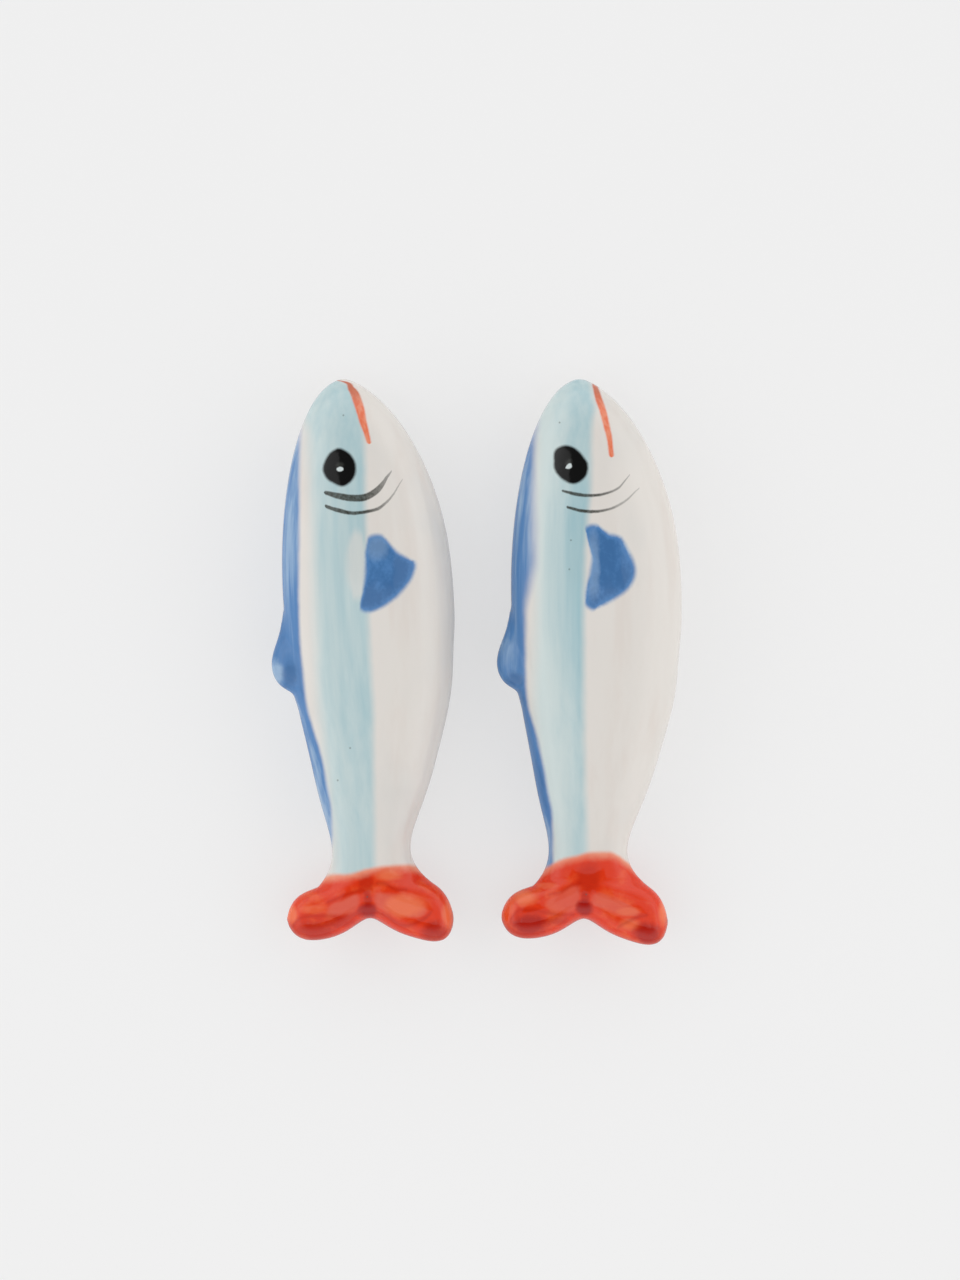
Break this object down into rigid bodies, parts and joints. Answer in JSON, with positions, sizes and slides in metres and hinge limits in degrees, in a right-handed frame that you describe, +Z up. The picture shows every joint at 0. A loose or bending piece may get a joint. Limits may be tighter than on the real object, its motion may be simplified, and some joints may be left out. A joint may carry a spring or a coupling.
{
  "type": "chopstick rest",
  "caption": "Fish-shaped ceramic chopstick rests, hand painted and glazed, each with a flat foot and a low stem before the forked tail on which the chopsticks lie.",
  "frame": {"origin": "centre of the pair's box, on the table that both rests stand on", "axes": "+Y towards the noses, +X from the fishes' backs to their bellies, +Z up"},
  "size_m": [0.0543, 0.0751, 0.0142],
  "materials": {
    "bisque_clay": "matt unglazed bisque",
    "milk_white_glaze": "gloss clear glaze over white",
    "cobalt_blue": "gloss glaze over brushed cobalt underglaze",
    "pale_turquoise": "gloss glaze over washed turquoise underglaze",
    "orange_red": "gloss glaze over brushed orange red underglaze",
    "black": "gloss glaze over black underglaze",
    "orange_line": "gloss glaze over an orange brush stroke",
    "olive_grey_line": "gloss glaze over a dry grey brush stroke"
  },
  "bodies": {
    "left_rest": {"left_clay_body": "bisque_clay", "left_clear_glaze": "milk_white_glaze", "left_back_stripe": "cobalt_blue", "left_flank_stripe": "pale_turquoise", "left_tail_coat": "orange_red", "left_pectoral_fin": "cobalt_blue", "left_eye": "black", "left_eye_glint": "milk_white_glaze", "left_mouth_line": "orange_line", "left_front_gill_line": "olive_grey_line", "left_rear_gill_line": "olive_grey_line"},
    "right_rest": {"right_clay_body": "bisque_clay", "right_clear_glaze": "milk_white_glaze", "right_back_stripe": "cobalt_blue", "right_flank_stripe": "pale_turquoise", "right_tail_coat": "orange_red", "right_pectoral_fin": "cobalt_blue", "right_eye": "black", "right_eye_glint": "milk_white_glaze", "right_mouth_line": "orange_line", "right_front_gill_line": "olive_grey_line", "right_rear_gill_line": "olive_grey_line"}
  },
  "joints": [
    {"name": "right_rest_slide", "type": "slide", "parent": "left_rest", "child": "right_rest", "axis": [1, 0, 0], "range_m": [0, 0.06]}
  ]
}
